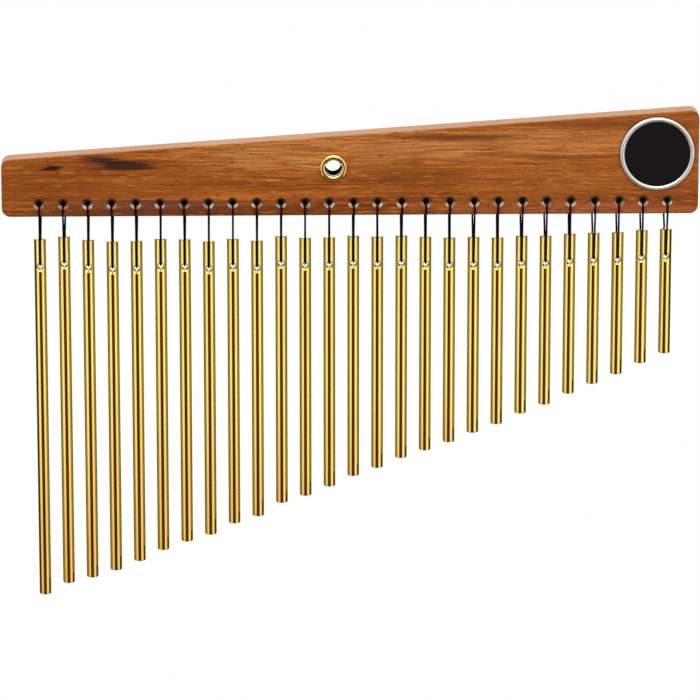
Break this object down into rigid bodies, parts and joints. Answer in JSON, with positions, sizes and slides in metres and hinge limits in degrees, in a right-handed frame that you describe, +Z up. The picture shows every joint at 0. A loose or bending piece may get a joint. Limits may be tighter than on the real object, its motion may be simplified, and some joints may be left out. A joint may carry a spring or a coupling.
{
  "type": "bar chimes",
  "caption": "Tapered wooden beam with a hanging eyelet and a round badge, carrying a row of graduated gold metal bars that swing on cord loops and ring when stroked.",
  "frame": {"origin": "middle of the eyelet's bore, half way through the beam's thickness", "axes": "+X along the beam towards the short bars, +Y to the rear, +Z up"},
  "size_m": [0.562, 0.0259, 0.4049],
  "materials": {
    "wood": "reddish-brown hardwood, satin varnish",
    "gold_bar": "solid rod, gold anodised, polished",
    "brass": "polished",
    "badge_metal": "bright die-cast rim",
    "badge_black": "black enamel, bare",
    "cord": "black braided cord"
  },
  "bodies": {
    "beam": {"beam": "wood", "eyelet": "brass", "eyelet_washer": "brass", "badge_rim": "badge_metal", "badge_face": "badge_black"},
    "cord_01": {"cord_01": "cord"},
    "bar_01": {"bar_01": "gold_bar"},
    "cord_02": {"cord_02": "cord"},
    "bar_02": {"bar_02": "gold_bar"},
    "cord_03": {"cord_03": "cord"},
    "bar_03": {"bar_03": "gold_bar"},
    "cord_04": {"cord_04": "cord"},
    "bar_04": {"bar_04": "gold_bar"},
    "cord_05": {"cord_05": "cord"},
    "bar_05": {"bar_05": "gold_bar"},
    "cord_06": {"cord_06": "cord"},
    "bar_06": {"bar_06": "gold_bar"},
    "cord_07": {"cord_07": "cord"},
    "bar_07": {"bar_07": "gold_bar"},
    "cord_08": {"cord_08": "cord"},
    "bar_08": {"bar_08": "gold_bar"},
    "cord_09": {"cord_09": "cord"},
    "bar_09": {"bar_09": "gold_bar"},
    "cord_10": {"cord_10": "cord"},
    "bar_10": {"bar_10": "gold_bar"},
    "cord_11": {"cord_11": "cord"},
    "bar_11": {"bar_11": "gold_bar"},
    "cord_12": {"cord_12": "cord"},
    "bar_12": {"bar_12": "gold_bar"},
    "cord_13": {"cord_13": "cord"},
    "bar_13": {"bar_13": "gold_bar"},
    "cord_14": {"cord_14": "cord"},
    "bar_14": {"bar_14": "gold_bar"},
    "cord_15": {"cord_15": "cord"},
    "bar_15": {"bar_15": "gold_bar"},
    "cord_16": {"cord_16": "cord"},
    "bar_16": {"bar_16": "gold_bar"},
    "cord_17": {"cord_17": "cord"},
    "bar_17": {"bar_17": "gold_bar"},
    "cord_18": {"cord_18": "cord"},
    "bar_18": {"bar_18": "gold_bar"},
    "cord_19": {"cord_19": "cord"},
    "bar_19": {"bar_19": "gold_bar"},
    "cord_20": {"cord_20": "cord"},
    "bar_20": {"bar_20": "gold_bar"},
    "cord_21": {"cord_21": "cord"},
    "bar_21": {"bar_21": "gold_bar"},
    "cord_22": {"cord_22": "cord"},
    "bar_22": {"bar_22": "gold_bar"},
    "cord_23": {"cord_23": "cord"},
    "bar_23": {"bar_23": "gold_bar"},
    "cord_24": {"cord_24": "cord"},
    "bar_24": {"bar_24": "gold_bar"},
    "cord_25": {"cord_25": "cord"},
    "bar_25": {"bar_25": "gold_bar"},
    "cord_26": {"cord_26": "cord"},
    "bar_26": {"bar_26": "gold_bar"},
    "cord_27": {"cord_27": "cord"},
    "bar_27": {"bar_27": "gold_bar"}
  },
  "joints": [
    {"name": "swing_01", "type": "hinge", "parent": "beam", "child": "cord_01", "pos_m": [-0.2373, 0, -0.039], "axis": [1, 0, 0], "range_deg": [-75, 75], "deforming": ["cord_01"]},
    {"name": "sway_01", "type": "hinge", "parent": "cord_01", "child": "bar_01", "pos_m": [-0.2373, 0, -0.08045], "axis": [0, -1, 0], "range_deg": [-22, 2]},
    {"name": "swing_02", "type": "hinge", "parent": "beam", "child": "cord_02", "pos_m": [-0.2178, 0, -0.039], "axis": [1, 0, 0], "range_deg": [-75, 75], "deforming": ["cord_02"]},
    {"name": "sway_02", "type": "hinge", "parent": "cord_02", "child": "bar_02", "pos_m": [-0.2178, 0, -0.07845], "axis": [0, -1, 0], "range_deg": [-1.99, 2.02]},
    {"name": "swing_03", "type": "hinge", "parent": "beam", "child": "cord_03", "pos_m": [-0.1983, 0, -0.039], "axis": [1, 0, 0], "range_deg": [-75, 75], "deforming": ["cord_03"]},
    {"name": "sway_03", "type": "hinge", "parent": "cord_03", "child": "bar_03", "pos_m": [-0.1983, 0, -0.08125], "axis": [0, -1, 0], "range_deg": [-2.05, 2.09]},
    {"name": "swing_04", "type": "hinge", "parent": "beam", "child": "cord_04", "pos_m": [-0.1788, 0, -0.039], "axis": [1, 0, 0], "range_deg": [-75, 75], "deforming": ["cord_04"]},
    {"name": "sway_04", "type": "hinge", "parent": "cord_04", "child": "bar_04", "pos_m": [-0.1788, 0, -0.08285], "axis": [0, -1, 0], "range_deg": [-2.11, 2.17]},
    {"name": "swing_05", "type": "hinge", "parent": "beam", "child": "cord_05", "pos_m": [-0.1593, 0, -0.039], "axis": [1, 0, 0], "range_deg": [-75, 75], "deforming": ["cord_05"]},
    {"name": "sway_05", "type": "hinge", "parent": "cord_05", "child": "bar_05", "pos_m": [-0.1593, 0, -0.08255], "axis": [0, -1, 0], "range_deg": [-2.17, 2.25]},
    {"name": "swing_06", "type": "hinge", "parent": "beam", "child": "cord_06", "pos_m": [-0.1398, 0, -0.039], "axis": [1, 0, 0], "range_deg": [-75, 75], "deforming": ["cord_06"]},
    {"name": "sway_06", "type": "hinge", "parent": "cord_06", "child": "bar_06", "pos_m": [-0.1398, 0, -0.08075], "axis": [0, -1, 0], "range_deg": [-2.24, 2.3]},
    {"name": "swing_07", "type": "hinge", "parent": "beam", "child": "cord_07", "pos_m": [-0.1203, 0, -0.039], "axis": [1, 0, 0], "range_deg": [-75, 75], "deforming": ["cord_07"]},
    {"name": "sway_07", "type": "hinge", "parent": "cord_07", "child": "bar_07", "pos_m": [-0.1203, 0, -0.08125], "axis": [0, -1, 0], "range_deg": [-2.31, 2.37]},
    {"name": "swing_08", "type": "hinge", "parent": "beam", "child": "cord_08", "pos_m": [-0.1008, 0, -0.039], "axis": [1, 0, 0], "range_deg": [-75, 75], "deforming": ["cord_08"]},
    {"name": "sway_08", "type": "hinge", "parent": "cord_08", "child": "bar_08", "pos_m": [-0.1008, 0, -0.08305], "axis": [0, -1, 0], "range_deg": [-2.39, 2.49]},
    {"name": "swing_09", "type": "hinge", "parent": "beam", "child": "cord_09", "pos_m": [-0.0813, 0, -0.039], "axis": [1, 0, 0], "range_deg": [-75, 75], "deforming": ["cord_09"]},
    {"name": "sway_09", "type": "hinge", "parent": "cord_09", "child": "bar_09", "pos_m": [-0.0813, 0, -0.08105], "axis": [0, -1, 0], "range_deg": [-2.47, 2.54]},
    {"name": "swing_10", "type": "hinge", "parent": "beam", "child": "cord_10", "pos_m": [-0.0618, 0, -0.039], "axis": [1, 0, 0], "range_deg": [-75, 75], "deforming": ["cord_10"]},
    {"name": "sway_10", "type": "hinge", "parent": "cord_10", "child": "bar_10", "pos_m": [-0.0618, 0, -0.08265], "axis": [0, -1, 0], "range_deg": [-2.56, 2.7]},
    {"name": "swing_11", "type": "hinge", "parent": "beam", "child": "cord_11", "pos_m": [-0.0423, 0, -0.039], "axis": [1, 0, 0], "range_deg": [-75, 75], "deforming": ["cord_11"]},
    {"name": "sway_11", "type": "hinge", "parent": "cord_11", "child": "bar_11", "pos_m": [-0.0423, 0, -0.07895], "axis": [0, -1, 0], "range_deg": [-2.65, 2.73]},
    {"name": "swing_12", "type": "hinge", "parent": "beam", "child": "cord_12", "pos_m": [-0.0228, 0, -0.039], "axis": [1, 0, 0], "range_deg": [-75, 75], "deforming": ["cord_12"]},
    {"name": "sway_12", "type": "hinge", "parent": "cord_12", "child": "bar_12", "pos_m": [-0.0228, 0, -0.08055], "axis": [0, -1, 0], "range_deg": [-2.76, 2.87]},
    {"name": "swing_13", "type": "hinge", "parent": "beam", "child": "cord_13", "pos_m": [-0.0033, 0, -0.039], "axis": [1, 0, 0], "range_deg": [-75, 75], "deforming": ["cord_13"]},
    {"name": "sway_13", "type": "hinge", "parent": "cord_13", "child": "bar_13", "pos_m": [-0.0033, 0, -0.08035], "axis": [0, -1, 0], "range_deg": [-2.87, 3.01]},
    {"name": "swing_14", "type": "hinge", "parent": "beam", "child": "cord_14", "pos_m": [0.0162, 0, -0.039], "axis": [1, 0, 0], "range_deg": [-75, 75], "deforming": ["cord_14"]},
    {"name": "sway_14", "type": "hinge", "parent": "cord_14", "child": "bar_14", "pos_m": [0.0162, 0, -0.07905], "axis": [0, -1, 0], "range_deg": [-2.99, 3.1]},
    {"name": "swing_15", "type": "hinge", "parent": "beam", "child": "cord_15", "pos_m": [0.0357, 0, -0.039], "axis": [1, 0, 0], "range_deg": [-75, 75], "deforming": ["cord_15"]},
    {"name": "sway_15", "type": "hinge", "parent": "cord_15", "child": "bar_15", "pos_m": [0.0357, 0, -0.07985], "axis": [0, -1, 0], "range_deg": [-3.12, 3.27]},
    {"name": "swing_16", "type": "hinge", "parent": "beam", "child": "cord_16", "pos_m": [0.0552, 0, -0.039], "axis": [1, 0, 0], "range_deg": [-75, 75], "deforming": ["cord_16"]},
    {"name": "sway_16", "type": "hinge", "parent": "cord_16", "child": "bar_16", "pos_m": [0.0552, 0, -0.07915], "axis": [0, -1, 0], "range_deg": [-3.26, 3.39]},
    {"name": "swing_17", "type": "hinge", "parent": "beam", "child": "cord_17", "pos_m": [0.0747, 0, -0.039], "axis": [1, 0, 0], "range_deg": [-75, 75], "deforming": ["cord_17"]},
    {"name": "sway_17", "type": "hinge", "parent": "cord_17", "child": "bar_17", "pos_m": [0.0747, 0, -0.08035], "axis": [0, -1, 0], "range_deg": [-3.42, 3.57]},
    {"name": "swing_18", "type": "hinge", "parent": "beam", "child": "cord_18", "pos_m": [0.0942, 0, -0.039], "axis": [1, 0, 0], "range_deg": [-75, 75], "deforming": ["cord_18"]},
    {"name": "sway_18", "type": "hinge", "parent": "cord_18", "child": "bar_18", "pos_m": [0.0942, 0, -0.08105], "axis": [0, -1, 0], "range_deg": [-3.59, 3.78]},
    {"name": "swing_19", "type": "hinge", "parent": "beam", "child": "cord_19", "pos_m": [0.1137, 0, -0.039], "axis": [1, 0, 0], "range_deg": [-75, 75], "deforming": ["cord_19"]},
    {"name": "sway_19", "type": "hinge", "parent": "cord_19", "child": "bar_19", "pos_m": [0.1137, 0, -0.08065], "axis": [0, -1, 0], "range_deg": [-3.78, 3.97]},
    {"name": "swing_20", "type": "hinge", "parent": "beam", "child": "cord_20", "pos_m": [0.1332, 0, -0.039], "axis": [1, 0, 0], "range_deg": [-75, 75], "deforming": ["cord_20"]},
    {"name": "sway_20", "type": "hinge", "parent": "cord_20", "child": "bar_20", "pos_m": [0.1332, 0, -0.08115], "axis": [0, -1, 0], "range_deg": [-3.99, 4.26]},
    {"name": "swing_21", "type": "hinge", "parent": "beam", "child": "cord_21", "pos_m": [0.1527, 0, -0.039], "axis": [1, 0, 0], "range_deg": [-75, 75], "deforming": ["cord_21"]},
    {"name": "sway_21", "type": "hinge", "parent": "cord_21", "child": "bar_21", "pos_m": [0.1527, 0, -0.07975], "axis": [0, -1, 0], "range_deg": [-4.23, 4.48]},
    {"name": "swing_22", "type": "hinge", "parent": "beam", "child": "cord_22", "pos_m": [0.1722, 0, -0.039], "axis": [1, 0, 0], "range_deg": [-75, 75], "deforming": ["cord_22"]},
    {"name": "sway_22", "type": "hinge", "parent": "cord_22", "child": "bar_22", "pos_m": [0.1722, 0, -0.07995], "axis": [0, -1, 0], "range_deg": [-4.5, 4.85]},
    {"name": "swing_23", "type": "hinge", "parent": "beam", "child": "cord_23", "pos_m": [0.1917, 0, -0.039], "axis": [1, 0, 0], "range_deg": [-75, 75], "deforming": ["cord_23"]},
    {"name": "sway_23", "type": "hinge", "parent": "cord_23", "child": "bar_23", "pos_m": [0.1917, 0, -0.07835], "axis": [0, -1, 0], "range_deg": [-4.8, 5.15]},
    {"name": "swing_24", "type": "hinge", "parent": "beam", "child": "cord_24", "pos_m": [0.2112, 0, -0.039], "axis": [1, 0, 0], "range_deg": [-75, 75], "deforming": ["cord_24"]},
    {"name": "sway_24", "type": "hinge", "parent": "cord_24", "child": "bar_24", "pos_m": [0.2112, 0, -0.07775], "axis": [0, -1, 0], "range_deg": [-5.15, 5.54]},
    {"name": "swing_25", "type": "hinge", "parent": "beam", "child": "cord_25", "pos_m": [0.2307, 0, -0.039], "axis": [1, 0, 0], "range_deg": [-75, 75], "deforming": ["cord_25"]},
    {"name": "sway_25", "type": "hinge", "parent": "cord_25", "child": "bar_25", "pos_m": [0.2307, 0, -0.07735], "axis": [0, -1, 0], "range_deg": [-5.55, 6.1]},
    {"name": "swing_26", "type": "hinge", "parent": "beam", "child": "cord_26", "pos_m": [0.2502, 0, -0.039], "axis": [1, 0, 0], "range_deg": [-75, 75], "deforming": ["cord_26"]},
    {"name": "sway_26", "type": "hinge", "parent": "cord_26", "child": "bar_26", "pos_m": [0.2502, 0, -0.07565], "axis": [0, -1, 0], "range_deg": [-6.02, 6.58]},
    {"name": "swing_27", "type": "hinge", "parent": "beam", "child": "cord_27", "pos_m": [0.2697, 0, -0.039], "axis": [1, 0, 0], "range_deg": [-75, 75], "deforming": ["cord_27"]},
    {"name": "sway_27", "type": "hinge", "parent": "cord_27", "child": "bar_27", "pos_m": [0.2697, 0, -0.07495], "axis": [0, -1, 0], "range_deg": [-6.57, 22]}
  ]
}
